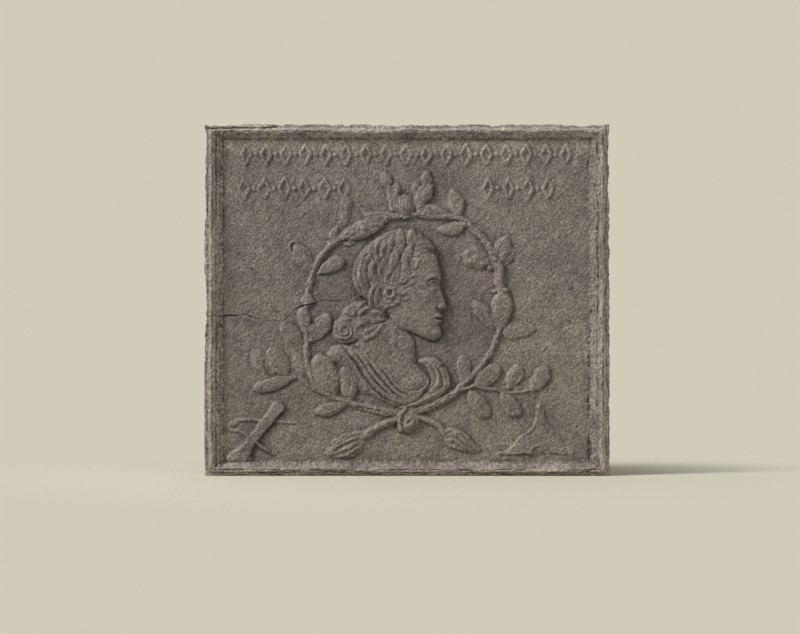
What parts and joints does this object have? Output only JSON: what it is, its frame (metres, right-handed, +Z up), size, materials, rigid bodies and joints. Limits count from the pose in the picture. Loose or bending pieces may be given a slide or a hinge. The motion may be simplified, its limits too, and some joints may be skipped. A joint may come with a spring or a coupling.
{
  "type": "cast-iron stove plate",
  "caption": "Side plate of a cast-iron stove: moulded rim, ground panel with a laurel wreath round a bust, ornament rows and corner tools in low relief.",
  "frame": {"origin": "under the middle of the lower edge, halfway through the plate's depth", "axes": "+Z up as the plate stands in the stove, relief facing -Y, +X to the right as one faces it"},
  "size_m": [0.66, 0.024, 0.572],
  "materials": {
    "cast_iron": "rough open-sand casting, grey-brown, matt"
  },
  "bodies": {
    "root": {"bottom_rail": "cast_iron", "brooch": "cast_iron", "bust_laurel": "cast_iron", "crown_boss": "cast_iron", "crown_buds": "cast_iron", "crown_leaves": "cast_iron", "drapery_left": "cast_iron", "drapery_right": "cast_iron", "front_locks": "cast_iron", "ground_panel": "cast_iron", "hair_mass": "cast_iron", "hammer_bar": "cast_iron", "head": "cast_iron", "knot_band": "cast_iron", "knot_roundel": "cast_iron", "left_inner_leaves": "cast_iron", "left_outer_leaves": "cast_iron", "left_rail": "cast_iron", "left_sprig_leaves": "cast_iron", "left_sprig_stem": "cast_iron", "left_stem_end": "cast_iron", "left_tassel": "cast_iron", "left_upper_leaves": "cast_iron", "lower_ornament_row_left": "cast_iron", "lower_ornament_row_right": "cast_iron", "nape_curls": "cast_iron", "nape_hair": "cast_iron", "neck_and_chest": "cast_iron", "peaked_stand": "cast_iron", "ribbon_knot": "cast_iron", "right_inner_leaves": "cast_iron", "right_outer_leaves": "cast_iron", "right_rail": "cast_iron", "right_sprig_leaves": "cast_iron", "right_sprig_stem": "cast_iron", "right_stem_end": "cast_iron", "right_tassel": "cast_iron", "side_curls": "cast_iron", "tongs_jaw": "cast_iron", "tongs_lower_rein": "cast_iron", "tongs_upper_rein": "cast_iron", "top_rail": "cast_iron", "upper_ornament_row": "cast_iron", "wreath_berries": "cast_iron", "wreath_stem_left": "cast_iron", "wreath_stem_right": "cast_iron"}
  },
  "joints": []
}
